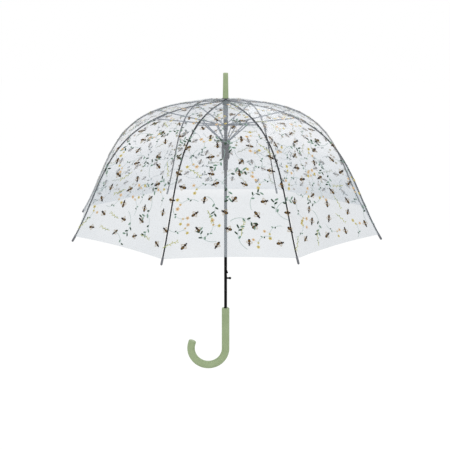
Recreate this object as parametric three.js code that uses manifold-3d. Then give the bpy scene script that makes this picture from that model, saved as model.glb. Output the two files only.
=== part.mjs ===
// Clear bubble umbrella, open, standing on its grip axis.
// Millimetres, +Z up. The origin is on the shaft axis, halfway up the straight part of the grip.
// The crook curls towards -X and the release button points to +X.
import * as THREE from 'three';
import { mergeVertices } from 'three/addons/utils/BufferGeometryUtils.js';
import Module from 'manifold-3d';

const wasm = await Module();
wasm.setup();

// Driving dimensions
const ribCount = 8;
const firstAzimuth = (24 * Math.PI) / 180; // near half a step, so that a gore faces the front

const shaftRadius = 4;
const shaftBore = 3.4;
const boreRadius = 4.3; // of everything that is on the shaft
const shaftBottom = 14;
const shaftTop = 658;

const ribPivot = [6.9, 618.5]; // radius and height of the wire that the ribs hinge on
const ribTip = [425, 286];
const ribShoulder = [344, 605]; // the two control points of the rib's curve
const ribWaist = [322, 443];
const kneeLength = 201.5; // along the rib, to where its stiff part ends and the springy rod starts
const kneeGap = 1.5;
const stretcherSetback = 10; // the stretcher's pivot stands this far before the knee

const stretcherPivot = [5.9, 556];
const stretcherSide = 2.5; // the stretchers run beside the ribs, at this distance from their plane
const stretcherThickness = 1.4;
const strutPivot = [9.5, 514.5];
const strutReach = 61; // from the stretcher's inner pivot to the strut's
const strutSide = 0.8;
const strutThickness = 1.4;

const filmThickness = 0.3;
const filmLift = 3; // from the rib centre line to the film
const crownLift = 2; // the film rises this much more over the crown
const filmGap = 0.3; // half the space between two film sections
const filmSag = 0.012; // of the radius, halfway between two ribs
const hemSetback = 20; // the rib tips stand out of the hem
const hemScallop = 6;

const catchHeight = 154.2; // the flat underside of the catch, which holds the closed runner down
const buttonHeight = 140.5;

const tipRadius = 2.75;
const gripRadius = 10.4;
const gripTop = 57;
const crookRadius = 47;
const crookAngle = THREE.MathUtils.degToRad(197);
const crookTail = 6; // straight, after the bend
const crookStart = -58;

const colours = {
  sage: { color: 0x9aac82, roughness: 0.45, metalness: 0 },
  black: { color: 0x202124, roughness: 0.5, metalness: 0 },
  blackSteel: { color: 0x24262a, roughness: 0.35, metalness: 0.7 },
  grey: { color: 0x55585c, roughness: 0.5, metalness: 0 },
  spring: { color: 0x8d9094, roughness: 0.3, metalness: 1 },
  film: { color: 0xdfe3ee, roughness: 0.1, metalness: 0, transparent: true, opacity: 0.35 },
};
const materials = Object.fromEntries(
  Object.entries(colours).map(([name, look]) => [name, new THREE.MeshStandardMaterial(look)]),
);

// Solids
function solidOf(geometry) {
  const bare = geometry.clone();
  bare.deleteAttribute('normal');
  bare.deleteAttribute('uv');
  const merged = mergeVertices(bare, 1e-4);
  return new wasm.Manifold(
    new wasm.Mesh({
      numProp: 3,
      vertProperties: new Float32Array(merged.attributes.position.array),
      triVerts: new Uint32Array(merged.index.array),
    }),
  );
}

function geometryOf(solid) {
  const { vertProperties, triVerts } = solid.getMesh();
  const geometry = new THREE.BufferGeometry();
  geometry.setAttribute('position', new THREE.BufferAttribute(vertProperties, 3));
  geometry.setIndex(new THREE.BufferAttribute(triVerts, 1));
  return geometry;
}

function joined(...geometries) {
  return geometries.map(solidOf).reduce((all, one) => all.add(one));
}

function meshOf(name, geometry, material) {
  const mesh = new THREE.Mesh(geometry, material);
  mesh.name = name;
  return mesh;
}

// A turned shape about the Z axis, from [radius, height] points
function turned(points, segments = 24) {
  const outline = points.map(([radius, height]) => new THREE.Vector2(radius, height));
  return new THREE.LatheGeometry(outline, segments).rotateX(Math.PI / 2);
}

function bored(outside, bore) {
  const low = outside[0][1];
  const high = outside[outside.length - 1][1];
  return turned([[bore, low], ...outside, [bore, high], [bore, low]]);
}

function wireRing(radius, height, wire = 0.35) {
  return new THREE.TorusGeometry(radius, wire, 4, 24).translate(0, 0, height);
}

function block(from, to) {
  const size = to.map((end, i) => end - from[i]);
  const middle = to.map((end, i) => (end + from[i]) / 2);
  return new THREE.BoxGeometry(...size).translate(...middle);
}

function withSlots(solid, slot) {
  let cut = solid;
  for (let k = 0; k < ribCount; k += 1) {
    cut = cut.subtract(solidOf(slot.clone().rotateZ(azimuthOf(k))));
  }
  return cut;
}

function azimuthOf(k) {
  return firstAzimuth + (k * 2 * Math.PI) / ribCount;
}

// The rib's centre line, in the XZ plane
const ribCurve = new THREE.CubicBezierCurve3(
  ...[ribPivot, ribShoulder, ribWaist, ribTip].map(([x, z]) => new THREE.Vector3(x, 0, z)),
);
ribCurve.arcLengthDivisions = 400;
const ribLength = ribCurve.getLength();
const hemLength = ribLength - hemSetback;

function ribPoint(length) {
  return ribCurve.getPointAt(THREE.MathUtils.clamp(length / ribLength, 0, 1));
}

class RibStretch extends THREE.Curve {
  constructor(start, end) {
    super();
    this.start = start;
    this.end = end;
  }

  getPoint(t, target = new THREE.Vector3()) {
    return target.copy(ribPoint(THREE.MathUtils.lerp(this.start, this.end, t)));
  }
}

// A section is drawn with x across the rib and y towards its inner side
function swept(section, start, end, steps) {
  return new THREE.ExtrudeGeometry(section, {
    steps,
    curveSegments: 2,
    extrudePath: new RibStretch(start, end),
  });
}

function polygon(points) {
  return new THREE.Shape(points.map(([x, y]) => new THREE.Vector2(x, y)));
}

function roundSection(radius, sides = 8) {
  const corners = Array.from({ length: sides }, (_, i) => (2 * Math.PI * (i + 0.5)) / sides);
  return polygon(corners.map((angle) => [radius * Math.cos(angle), radius * Math.sin(angle)]));
}

function eye([x, z], radius, thickness) {
  return new THREE.CylinderGeometry(radius, radius, thickness, 8).translate(x, 0, z);
}

// Ribs
const channel = polygon([
  [-1.5, -1.4], [-0.9, -1.4], [-0.9, 0.7], [0.9, 0.7], [0.9, -1.4], [1.5, -1.4], [1.5, 1.4], [-1.5, 1.4],
]);
const tongue = polygon([[-0.8, -1.2], [0.8, -1.2], [0.8, 1.2], [-0.8, 1.2]]);
const kneeBlock = polygon([[-1.5, -1.7], [2.4, -1.7], [2.4, 2], [1.6, 2.6], [-0.7, 2.6], [-1.5, 2]]);

function upperRib() {
  const whole = joined(
    eye(ribPivot, 1.5, 1.6),
    swept(tongue, 0.2, 15, 1),
    swept(channel, 13, kneeLength - 36, 4),
    swept(kneeBlock, kneeLength - 38, kneeLength - kneeGap, 2),
  );
  return geometryOf(whole.subtract(solidOf(eye(ribPivot, 0.8, 4))));
}

function lowerRib() {
  const start = kneeLength + kneeGap;
  return geometryOf(
    joined(
      swept(roundSection(2.1), start, start + 14, 1),
      swept(roundSection(1.6), start + 13, ribLength - 19, 10),
      swept(roundSection(tipRadius), ribLength - 20, ribLength, 1),
    ),
  );
}

// Flat bars with an eye at each end, lying along +X from their first eye
function bar(length, halfHeight, thickness, holeRadius) {
  const outline = new THREE.Shape();
  outline.absarc(length, 0, halfHeight, -Math.PI / 2, Math.PI / 2, false);
  outline.absarc(0, 0, halfHeight, Math.PI / 2, (3 * Math.PI) / 2, false);
  outline.closePath();
  for (const x of [0, length]) {
    outline.holes.push(new THREE.Path().absarc(x, 0, holeRadius, 0, 2 * Math.PI, true));
  }
  return new THREE.ExtrudeGeometry(outline, { depth: thickness, bevelEnabled: false, curveSegments: 3 })
    .translate(0, 0, -thickness / 2)
    .rotateX(Math.PI / 2);
}

function barBetween(name, from, to, side, halfHeight, thickness, holeRadius) {
  const reach = new THREE.Vector2(to[0] - from[0], to[1] - from[1]);
  const mesh = meshOf(name, bar(reach.length(), halfHeight, thickness, holeRadius), materials.blackSteel);
  mesh.position.set(from[0], side, from[1]);
  mesh.rotation.y = -reach.angle();
  return mesh;
}

const stretcherEnd = ribPoint(kneeLength - stretcherSetback);
const stretcherTo = [stretcherEnd.x, stretcherEnd.z];
const stretcherLength = Math.hypot(stretcherTo[0] - stretcherPivot[0], stretcherTo[1] - stretcherPivot[1]);
const strutTo = stretcherPivot.map((start, i) => (
  start + ((stretcherTo[i] - start) * strutReach) / stretcherLength
));

function stretcher(k) {
  const from = stretcherPivot;
  return barBetween(`stretcher_${k}`, from, stretcherTo, stretcherSide, 1.45, stretcherThickness, 0.8);
}

function strut(k) {
  return barBetween(`strut_${k}`, strutPivot, strutTo, strutSide, 1.5, strutThickness, 0.8);
}

// Film: one section to a rib, reaching halfway to each neighbour
const halfStep = Math.PI / ribCount;

function filmPoint(along, across, outward) {
  const length = THREE.MathUtils.clamp(along, 0, ribLength);
  const centre = ribPoint(length);
  const tangent = ribCurve.getTangentAt(length / ribLength);
  const lift = filmLift + crownLift * Math.exp(-length / 14) + outward;
  const ridge = centre.x - tangent.z * lift;
  const height = centre.z + tangent.x * lift;
  const edge = halfStep - Math.asin(Math.min(filmGap / ridge, 1));
  const azimuth = across * edge;
  const chord = Math.cos(halfStep) / Math.cos(halfStep - Math.abs(azimuth));
  const slack = 1 - filmSag * (1 - (1 - Math.abs(across)) ** 2);
  const radius = ridge * chord * slack;
  return [radius * Math.cos(azimuth), radius * Math.sin(azimuth), height];
}

function filmSection(start, end, columns, rows, scallop) {
  const geometry = new THREE.BoxGeometry(2, 1, 1, columns, rows, 1);
  const place = geometry.attributes.position;
  for (let i = 0; i < place.count; i += 1) {
    const across = -place.getX(i);
    const share = 0.5 + place.getY(i);
    const rise = scallop * share ** 4 * (1 - (1 - Math.abs(across)) ** 2);
    const along = THREE.MathUtils.lerp(start, end, share) - rise;
    place.setXYZ(i, ...filmPoint(along, across, (place.getZ(i) + 0.5) * filmThickness));
  }
  return geometry;
}

function upperFilm() {
  return filmSection(0.8, kneeLength - filmGap, 4, 5, 0);
}

function lowerFilm() {
  return filmSection(kneeLength + filmGap, hemLength, 6, 8, hemScallop);
}

// Shaft group
function shaftTube() {
  const tube = solidOf(bored([[shaftRadius, shaftBottom], [shaftRadius, shaftTop]], shaftBore));
  const catchSlot = block([0.5, -1.8, catchHeight - 4], [6, 1.8, catchHeight + 10]);
  const buttonHole = new THREE.CylinderGeometry(2.7, 2.7, 6, 16).rotateZ(Math.PI / 2).translate(4.5, 0, buttonHeight);
  return geometryOf(tube.subtract(solidOf(catchSlot)).subtract(solidOf(buttonHole)));
}

function ferrule() {
  return turned([
    [0, shaftTop + 0.3], [boreRadius, shaftTop + 0.3], [boreRadius, 626.3], [7.3, 626.3], [7.5, 627.8],
    [6.4, 690.8], [5.6, 692], [0, 692],
  ]);
}

function canopyCap() {
  return bored([[10, 624.4], [10.5, 625], [10, 626]], boreRadius);
}

function crown() {
  const body = bored([[7.6, 608.5], [8.2, 609.5], [8.2, 620.8], [7.4, 622]], boreRadius);
  const slot = block([5.1, -1.1, 607], [10, 1.1, ribPivot[1] + 1.9]);
  return geometryOf(withSlots(solidOf(body), slot).add(solidOf(wireRing(ribPivot[0], ribPivot[1]))));
}

function stopSleeve() {
  return bored([[6, 571.2], [6.5, 572.2], [6.5, 605], [5.6, 608]], boreRadius);
}

const hubBottom = 542.5;

function upperHub() {
  const outline = [[6.1, hubBottom], [6.1, 551.4], [7, 552.2], [7, 560], [6.1, 560.8], [6.1, 569.6]];
  const low = stretcherPivot[1] - 1.9;
  const slot = block([4.25, stretcherSide - 1.1, low], [9, stretcherSide + 1.1, 571]);
  const ring = wireRing(Math.hypot(stretcherPivot[0], stretcherSide), stretcherPivot[1]);
  return geometryOf(withSlots(solidOf(bored(outline, boreRadius)), slot).add(solidOf(ring)));
}

const runnerBottom = 436;
const housingTop = 517.5;
const springSeat = 501.5;
const windowBottom = runnerBottom + 3;

function runner() {
  const outline = [
    [boreRadius, runnerBottom], [5.6, runnerBottom], [6, runnerBottom + 1], [6, 465.5], [9, 467.5],
    [10.5, 469.5], [10.5, 507.5], [11.5, 511.5], [11.5, housingTop], [6.4, housingTop], [6.4, springSeat],
    [boreRadius, springSeat], [boreRadius, runnerBottom],
  ];
  const slot = block([8, strutSide - 1.1, strutPivot[1] - 1.9], [13, strutSide + 1.1, housingTop + 1]);
  const ring = wireRing(Math.hypot(strutPivot[0], strutSide), strutPivot[1]);
  const catchWindow = block([2, -2.2, windowBottom], [8, 2.2, windowBottom + 9]);
  const body = withSlots(solidOf(turned(outline)), slot);
  return geometryOf(body.subtract(solidOf(catchWindow)).add(solidOf(ring)));
}

class Helix extends THREE.Curve {
  constructor(radius, low, high, turns) {
    super();
    Object.assign(this, { radius, low, high, turns });
  }

  getPoint(t, target = new THREE.Vector3()) {
    const angle = 2 * Math.PI * this.turns * t;
    const height = THREE.MathUtils.lerp(this.low, this.high, t);
    return target.set(this.radius * Math.cos(angle), this.radius * Math.sin(angle), height);
  }
}

function openingSpring() {
  const turns = 8;
  const wire = 0.45;
  const coil = new Helix(5.3, springSeat + 0.3 + wire, hubBottom - 0.3 - wire, turns);
  return new THREE.ExtrudeGeometry(roundSection(wire, 4), { steps: turns * 10, extrudePath: coil });
}

// Grip group
class CrookBend extends THREE.Curve {
  getPoint(t, target = new THREE.Vector3()) {
    const bendLength = crookRadius * crookAngle;
    const along = (bendLength + crookTail) * t;
    const angle = Math.min(along, bendLength) / crookRadius;
    const tail = Math.max(along - bendLength, 0);
    const x = crookRadius * (Math.cos(angle) - 1) - tail * Math.sin(angle);
    return target.set(x, 0, crookStart - crookRadius * Math.sin(angle) - tail * Math.cos(angle));
  }
}

function crookHandle() {
  const bend = new CrookBend();
  const stem = turned([[0, crookStart], [gripRadius, crookStart], [gripRadius, gripTop - 2],
    [gripRadius - 2, gripTop], [0, gripTop]], 16);
  const hook = new THREE.ExtrudeGeometry(roundSection(gripRadius, 16), { steps: 15, extrudePath: bend });
  const end = bend.getPoint(1);
  const nose = new THREE.SphereGeometry(gripRadius - 0.05, 16, 6)
    .scale(1, 1, 0.3)
    .rotateY(crookAngle)
    .translate(end.x, end.y, end.z);
  const hole = new THREE.CylinderGeometry(boreRadius, boreRadius, 60, 24)
    .rotateX(Math.PI / 2)
    .translate(0, 0, shaftBottom - 0.3 + 30);
  return geometryOf(joined(stem, hook, nose).subtract(solidOf(hole)));
}

function releaseButton() {
  const outline = [[0, 2.2], [2.4, 2.2], [2.4, 9], [2.9, 9.4], [3.4, 11], [3.2, 13.4], [1.9, 14.8], [0, 15.2]];
  return turned(outline, 16).rotateY(Math.PI / 2).translate(0, 0, buttonHeight);
}

function catchHook() {
  const outline = polygon([
    [0.9, 116], [1.6, 116], [1.6, catchHeight], [6.6, catchHeight], [6.6, catchHeight + 1.4],
    [4.2, catchHeight + 8], [1.6, catchHeight + 9], [0.9, catchHeight + 9],
  ]);
  return new THREE.ExtrudeGeometry(outline, { depth: 2.8, bevelEnabled: false })
    .translate(0, 0, -1.4)
    .rotateX(Math.PI / 2);
}

// Assembly
const group = new THREE.Group();

function add(name, geometry, material) {
  group.add(meshOf(name, geometry, material));
}

add('shaft_tube', shaftTube(), materials.blackSteel);
add('crook_handle', crookHandle(), materials.sage);
add('ferrule', ferrule(), materials.sage);
add('canopy_cap', canopyCap(), materials.film);
add('crown', crown(), materials.black);
add('stop_sleeve', stopSleeve(), materials.grey);
add('upper_hub', upperHub(), materials.black);
add('opening_spring', openingSpring(), materials.spring);
add('runner', runner(), materials.black);
add('release_button', releaseButton(), materials.black);
add('catch_hook', catchHook(), materials.spring);

const ribGeometry = { upper: upperRib(), lower: lowerRib() };
const filmGeometry = { upper: upperFilm(), lower: lowerFilm() };
for (let k = 0; k < ribCount; k += 1) {
  const sector = new THREE.Group();
  sector.rotation.z = azimuthOf(k);
  sector.add(
    meshOf(`rib_upper_${k}`, ribGeometry.upper, materials.blackSteel),
    meshOf(`rib_lower_${k}`, ribGeometry.lower, materials.blackSteel),
    meshOf(`canopy_upper_${k}`, filmGeometry.upper, materials.film),
    meshOf(`canopy_lower_${k}`, filmGeometry.lower, materials.film),
    stretcher(k),
    strut(k),
  );
  group.add(sector);
}

export default group;
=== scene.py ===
import math
import random

import bpy
from mathutils import Matrix, Vector, noise


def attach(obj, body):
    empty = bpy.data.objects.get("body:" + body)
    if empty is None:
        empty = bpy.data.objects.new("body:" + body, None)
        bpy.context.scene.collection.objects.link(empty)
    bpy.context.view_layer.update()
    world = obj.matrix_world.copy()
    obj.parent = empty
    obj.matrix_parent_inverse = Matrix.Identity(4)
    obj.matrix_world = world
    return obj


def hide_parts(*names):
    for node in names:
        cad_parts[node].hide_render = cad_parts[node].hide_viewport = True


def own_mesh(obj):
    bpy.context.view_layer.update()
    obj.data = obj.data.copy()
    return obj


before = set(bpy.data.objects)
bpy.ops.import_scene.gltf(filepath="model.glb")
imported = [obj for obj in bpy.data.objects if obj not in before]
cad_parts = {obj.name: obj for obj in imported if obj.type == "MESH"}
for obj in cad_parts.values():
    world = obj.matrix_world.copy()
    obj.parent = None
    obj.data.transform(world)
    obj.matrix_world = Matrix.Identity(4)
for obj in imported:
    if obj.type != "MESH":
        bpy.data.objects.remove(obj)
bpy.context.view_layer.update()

mm = 0.001


def clearSelection():
    if bpy.context.object and bpy.context.object.mode != "OBJECT":
        bpy.ops.object.mode_set(mode="OBJECT")
    bpy.ops.object.select_all(action="DESELECT")


def activeAs(name):
    piece = bpy.context.object
    piece.name = name
    piece.data.name = name
    return piece


def pickOnly(piece):
    clearSelection()
    bpy.context.view_layer.objects.active = piece
    piece.select_set(True)


def placeInMesh(piece):
    # the place, turn and size go into the mesh, so that the object stands at the origin
    pickOnly(piece)
    bpy.ops.object.transform_apply(location=True, rotation=True, scale=True)


def smoothByAngle(piece, degrees=35):
    pickOnly(piece)
    bpy.ops.object.shade_smooth_by_angle(angle=math.radians(degrees))


def tidyMesh(piece):
    pickOnly(piece)
    bpy.ops.object.mode_set(mode="EDIT")
    bpy.ops.mesh.select_all(action="SELECT")
    bpy.ops.mesh.remove_doubles(threshold=0.02 * mm)
    bpy.ops.mesh.normals_make_consistent(inside=False)
    bpy.ops.object.mode_set(mode="OBJECT")


def bevelEdges(piece, width, segments=2, degrees=40):
    pickOnly(piece)
    soften = piece.modifiers.new("soften", "BEVEL")
    soften.width = width
    soften.segments = segments
    soften.limit_method = "ANGLE"
    soften.angle_limit = math.radians(degrees)
    bpy.ops.object.modifier_apply(modifier=soften.name)


def copyOf(piece, name, turn):
    twin = piece.copy()
    twin.data = piece.data.copy()
    twin.name = name
    twin.data.name = name
    twin.data.transform(Matrix.Rotation(turn, 4, "Z"))
    bpy.context.scene.collection.objects.link(twin)
    return twin


def joinInto(piece, others):
    clearSelection()
    for other in others:
        other.select_set(True)
    piece.select_set(True)
    bpy.context.view_layer.objects.active = piece
    bpy.ops.object.join()
    return piece


def removePiece(piece):
    bpy.data.objects.remove(piece, do_unlink=True)


def hexColour(code):
    channels = [int(code[i:i + 2], 16) / 255 for i in (1, 3, 5)]
    linear = [c / 12.92 if c <= 0.04045 else ((c + 0.055) / 1.055) ** 2.4 for c in channels]
    return (*linear, 1.0)


def addNode(tree, kind, settings=None, links=None):
    node = tree.nodes.new(kind)
    for key, value in (settings or {}).items():
        if isinstance(key, str) and hasattr(node, key):
            setattr(node, key, value)
        else:
            node.inputs[key].default_value = value
    for key, source in (links or {}).items():
        tree.links.new(source, node.inputs[key])
    return node


def newMaterial(name):
    material = bpy.data.materials.new(name)
    material.use_nodes = True
    material.node_tree.nodes.clear()
    return material, material.node_tree


def mouldedMaterial(name, look):
    # base colour with a soft cloudiness, roughness that varies a little, and a fine surface grain
    material, tree = newMaterial(name)
    place = addNode(tree, "ShaderNodeTexCoord")
    cloud = addNode(tree, "ShaderNodeTexNoise", {"Scale": look["cloudScale"], "Detail": 3.0},
                    {"Vector": place.outputs["Object"]})
    tint = addNode(tree, "ShaderNodeMix", {"data_type": "RGBA", 6: hexColour(look["dark"]),
                                           7: hexColour(look["pale"])}, {0: cloud.outputs["Fac"]})
    grain = addNode(tree, "ShaderNodeTexNoise", {"Scale": look["grainScale"], "Detail": 2.0},
                    {"Vector": place.outputs["Object"]})
    rough = addNode(tree, "ShaderNodeMapRange", {"To Min": look["roughness"] - 0.06,
                                                 "To Max": look["roughness"] + 0.06},
                    {"Value": cloud.outputs["Fac"]})
    bump = addNode(tree, "ShaderNodeBump", {"Strength": look["bump"], "Distance": look["bumpDepth"]},
                   {"Height": grain.outputs["Fac"]})
    surface = addNode(tree, "ShaderNodeBsdfPrincipled",
                      {"Metallic": look.get("metallic", 0.0),
                       "Specular IOR Level": look.get("specular", 0.5)},
                      {"Base Color": tint.outputs[2], "Roughness": rough.outputs[0],
                       "Normal": bump.outputs[0]})
    addNode(tree, "ShaderNodeOutputMaterial", links={"Surface": surface.outputs[0]})
    return material


looks = {
    # soft-touch ABS, injection moulded: an even matt sage with a very fine leathery grain
    "sagePlastic": {"dark": "#93A47B", "pale": "#A6B68F", "cloudScale": 38.0, "grainScale": 2600.0,
                    "roughness": 0.52, "bump": 0.25, "bumpDepth": 0.00006, "specular": 0.35},
    # black nylon, moulded and lightly textured
    "blackNylon": {"dark": "#0E0E10", "pale": "#1B1B1E", "cloudScale": 90.0, "grainScale": 2200.0,
                   "roughness": 0.45, "bump": 0.3, "bumpDepth": 0.00006, "specular": 0.12},
    # steel tube and strip under black paint: smooth, with a faint orange peel
    "blackPaintedSteel": {"dark": "#050506", "pale": "#0C0C0E", "cloudScale": 60.0, "grainScale": 900.0,
                          "roughness": 0.3, "bump": 0.15, "bumpDepth": 0.00005, "specular": 0.08},
    # strip steel with a bright zinc coat: cool grey, with a soft sheen
    "zincPlatedSteel": {"dark": "#7A7F87", "pale": "#9298A0", "cloudScale": 150.0, "grainScale": 1500.0,
                        "roughness": 0.38, "bump": 0.2, "bumpDepth": 0.00004, "metallic": 0.85},
    # pultruded glass fibre: nearly black, with a fine dry grain
    "glassFibre": {"dark": "#0B0C0E", "pale": "#191A1E", "cloudScale": 200.0, "grainScale": 3200.0,
                   "roughness": 0.4, "bump": 0.25, "bumpDepth": 0.00005, "specular": 0.15},
    # grey polypropylene, moulded
    "greyPlastic": {"dark": "#5C5E63", "pale": "#707278", "cloudScale": 120.0, "grainScale": 2400.0,
                    "roughness": 0.48, "bump": 0.2, "bumpDepth": 0.00005, "specular": 0.4},
    # spring wire, drawn and zinc plated
    "springSteel": {"dark": "#8A8D92", "pale": "#A5A8AC", "cloudScale": 400.0, "grainScale": 3000.0,
                    "roughness": 0.32, "bump": 0.2, "bumpDepth": 0.00004, "metallic": 1.0},
}
materials = {name: mouldedMaterial(name, look) for name, look in looks.items()}
print("materials: plastics and metals")

filmLook = {
    # height in metres, share of the light that the film holds back, and its colour there; partly the film's
    # own haze and partly painted reflection and shade: the heavier, bluer veil toward the hem is a painted
    # reflection of light in the film, and the steps between heights are painted to even out how bright the
    # film looks where it is lit and where it is in shade
    "hazeAndPaintedLightStops": ((0.29, 0.47, "#C9D1D8"), (0.435, 0.42, "#CBD3DA"), (0.478, 0.24, "#EBEFF5"),
              (0.55, 0.23, "#E4E8EF"), (0.60, 0.30, "#C8D0DA"), (0.63, 0.34, "#BEC6D0")),
    # how cloudy it is over a rib and how wide that clearer band is, from and to, in metres
    "onRib": 0.2, "ribBand": (0.0022, 0.0048),
    # how cloudy it is at the crown, where its gathers hide the ribs, and between which heights
    "crownVeil": 0.7, "crownBand": (0.58, 0.618),
    # more cloud where it is seen edge on, gloss, and the part of the light that comes through from behind
    "grazing": 0.22, "roughness": 0.16, "through": 0.5,
}


def filmMaterial(look):
    # soft PVC film, calendered: clear, a little cloudier at the crown, with a wet gloss; the heavier, bluer
    # veil toward the hem is painted reflection of light, and the cloud and tint by height are partly painted
    # shade that evens out how bright the film looks
    material, tree = newMaterial("clearPvcFilm")
    place = addNode(tree, "ShaderNodeTexCoord")
    flat = addNode(tree, "ShaderNodeUVMap", {"uv_map": "flat"})
    flatParts = addNode(tree, "ShaderNodeSeparateXYZ", links={0: flat.outputs[0]})
    objectParts = addNode(tree, "ShaderNodeSeparateXYZ", links={0: place.outputs["Object"]})
    # the ramps by height paint reflection and shade into the film's haze and colour: heavier and bluer toward
    # the hem
    hazeAndPaintedLightStops = look["hazeAndPaintedLightStops"]
    low, high = hazeAndPaintedLightStops[0][0], hazeAndPaintedLightStops[-1][0]
    share = addNode(tree, "ShaderNodeMapRange", {"From Min": low, "From Max": high},
                    {"Value": objectParts.outputs[2]})
    ramps = []
    for colours in ([(held,) * 3 + (1,) for _, held, _ in hazeAndPaintedLightStops], [hexColour(code) for _, _, code in hazeAndPaintedLightStops]):
        ramp = addNode(tree, "ShaderNodeValToRGB", links={0: share.outputs[0]})
        elements = ramp.color_ramp.elements
        while len(elements) < len(hazeAndPaintedLightStops):
            elements.new(0.5)
        for element, (height, _, _), colour in zip(elements, hazeAndPaintedLightStops, colours):
            element.position = (height - low) / (high - low)
            element.color = colour
        ramps.append(ramp.outputs[0])
    # share and tint by height: the film's own haze, plus painted reflection and painted shade
    hazeAndPaintedLight, tint = ramps
    cloud = addNode(tree, "ShaderNodeTexNoise", {"Scale": 14.0, "Detail": 2.0},
                    {"Vector": place.outputs["Object"]})
    cloudy = addNode(tree, "ShaderNodeMapRange", {"To Min": 0.84, "To Max": 1.16},
                     {"Value": cloud.outputs["Fac"]})
    cloudyHazeAndPaintedLight = addNode(tree, "ShaderNodeMath", {"operation": "MULTIPLY"}, {0: hazeAndPaintedLight, 1: cloudy.outputs[0]})
    # the film lies tight on each rib, and is clearer there
    away = addNode(tree, "ShaderNodeMath", {"operation": "ABSOLUTE"}, {0: flatParts.outputs[0]})
    offRib = addNode(tree, "ShaderNodeMapRange", {"From Min": look["ribBand"][0],
                                                  "From Max": look["ribBand"][1],
                                                  "To Min": look["onRib"], "To Max": 1.0},
                     {"Value": away.outputs[0]})
    nearCrown = addNode(tree, "ShaderNodeMapRange", {"From Min": look["crownBand"][0],
                                                      "From Max": look["crownBand"][1],
                                                      "To Min": 0.0, "To Max": look["crownVeil"]},
                        {"Value": objectParts.outputs[2]})
    overRib = addNode(tree, "ShaderNodeMath", {"operation": "MAXIMUM"},
                      {0: offRib.outputs[0], 1: nearCrown.outputs[0]})
    offRibHazeAndPaintedLight = addNode(tree, "ShaderNodeMath", {"operation": "MULTIPLY"},
                         {0: cloudyHazeAndPaintedLight.outputs[0], 1: overRib.outputs[0]})
    grazing = addNode(tree, "ShaderNodeLayerWeight", {"Blend": 0.25})
    grazingPart = addNode(tree, "ShaderNodeMath", {"operation": "MULTIPLY", 1: look["grazing"]},
                          {0: grazing.outputs["Facing"]})
    factor = addNode(tree, "ShaderNodeMath", {"operation": "ADD", "use_clamp": True},
                     {0: offRibHazeAndPaintedLight.outputs[0], 1: grazingPart.outputs[0]})
    ripple = addNode(tree, "ShaderNodeTexNoise", {"Scale": 30.0, "Detail": 1.0},
                     {"Vector": place.outputs["Object"]})
    bump = addNode(tree, "ShaderNodeBump", {"Strength": 0.25, "Distance": 0.002},
                   {"Height": ripple.outputs["Fac"]})
    clear = addNode(tree, "ShaderNodeBsdfTransparent")
    surface = addNode(tree, "ShaderNodeBsdfPrincipled", {"Roughness": look["roughness"], "IOR": 1.53},
                      {"Base Color": tint, "Normal": bump.outputs[0]})
    through = addNode(tree, "ShaderNodeBsdfTranslucent", links={"Color": tint, "Normal": bump.outputs[0]})
    veil = addNode(tree, "ShaderNodeMixShader", {0: look["through"]},
                   {1: surface.outputs[0], 2: through.outputs[0]})
    both = addNode(tree, "ShaderNodeMixShader", links={0: factor.outputs[0], 1: clear.outputs[0],
                                                       2: veil.outputs[0]})
    addNode(tree, "ShaderNodeOutputMaterial", links={"Surface": both.outputs[0]})
    return material


materials["film"] = filmMaterial(filmLook)


def inkMaterial(name, dark, pale, clearness=0.0):
    # screen ink on film: a thin flat colour, a little uneven where the squeegee left less of it
    material, tree = newMaterial(name)
    place = addNode(tree, "ShaderNodeTexCoord")
    uneven = addNode(tree, "ShaderNodeTexNoise", {"Scale": 420.0, "Detail": 2.0},
                     {"Vector": place.outputs["Object"]})
    tint = addNode(tree, "ShaderNodeMix", {"data_type": "RGBA", 6: hexColour(dark), 7: hexColour(pale)},
                   {0: uneven.outputs["Fac"]})
    ink = addNode(tree, "ShaderNodeBsdfPrincipled", {"Roughness": 0.35, "Specular IOR Level": 0.3},
                  {"Base Color": tint.outputs[2]})
    seen = ink
    if clearness > 0:
        clear = addNode(tree, "ShaderNodeBsdfTransparent")
        seen = addNode(tree, "ShaderNodeMixShader", {0: clearness}, {1: ink.outputs[0], 2: clear.outputs[0]})
    addNode(tree, "ShaderNodeOutputMaterial", links={"Surface": seen.outputs[0]})
    return material


inks = {
    "beeBrown": inkMaterial("inkBrown", "#120A06", "#24150B"),
    "beeAmber": inkMaterial("inkAmber", "#8A6420", "#A88034"),
    "beeWing": inkMaterial("inkWing", "#8E7C5C", "#B4A27E", 0.5),
    "leafDark": inkMaterial("inkLeafDark", "#1C3324", "#2E4B36"),
    "leafGrey": inkMaterial("inkLeafGrey", "#557562", "#7A9A86"),
    "stem": inkMaterial("inkStem", "#7E9A92", "#9DB3AC", 0.1),
    "yellow": inkMaterial("inkYellow", "#BFAE5A", "#D2C47E"),
    "peach": inkMaterial("inkPeach", "#D0AE84", "#E0C59E"),
    "sprig": inkMaterial("inkSprig", "#97982E", "#B5B54A"),
}
print("materials: film and inks")

cameraSet = {"place": (-0.0016, -3.3282, 1.1016), "pitch": 13.75, "lens": 103.1, "sensor": 36}
bpy.ops.object.camera_add(location=cameraSet["place"],
                          rotation=(math.radians(90 - cameraSet["pitch"]), 0, 0))
camera = activeAs("camera")
camera.data.lens = cameraSet["lens"]
camera.data.sensor_width = cameraSet["sensor"]
bpy.context.scene.camera = camera
bpy.context.scene.view_settings.view_transform = "Standard"
bpy.context.scene.cycles.transparent_max_bounces = 40  # film behind film behind film

floorSet = {"size": 24.0, "height": -0.9, "glow": 0.812, "bounce": 0.75, "shade": 0.22}
clearSelection()
bpy.ops.mesh.primitive_grid_add(x_subdivisions=4, y_subdivisions=4, size=floorSet["size"],
                                location=(0, 0, floorSet["height"]))
floor = activeAs("floor")
placeInMesh(floor)


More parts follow.
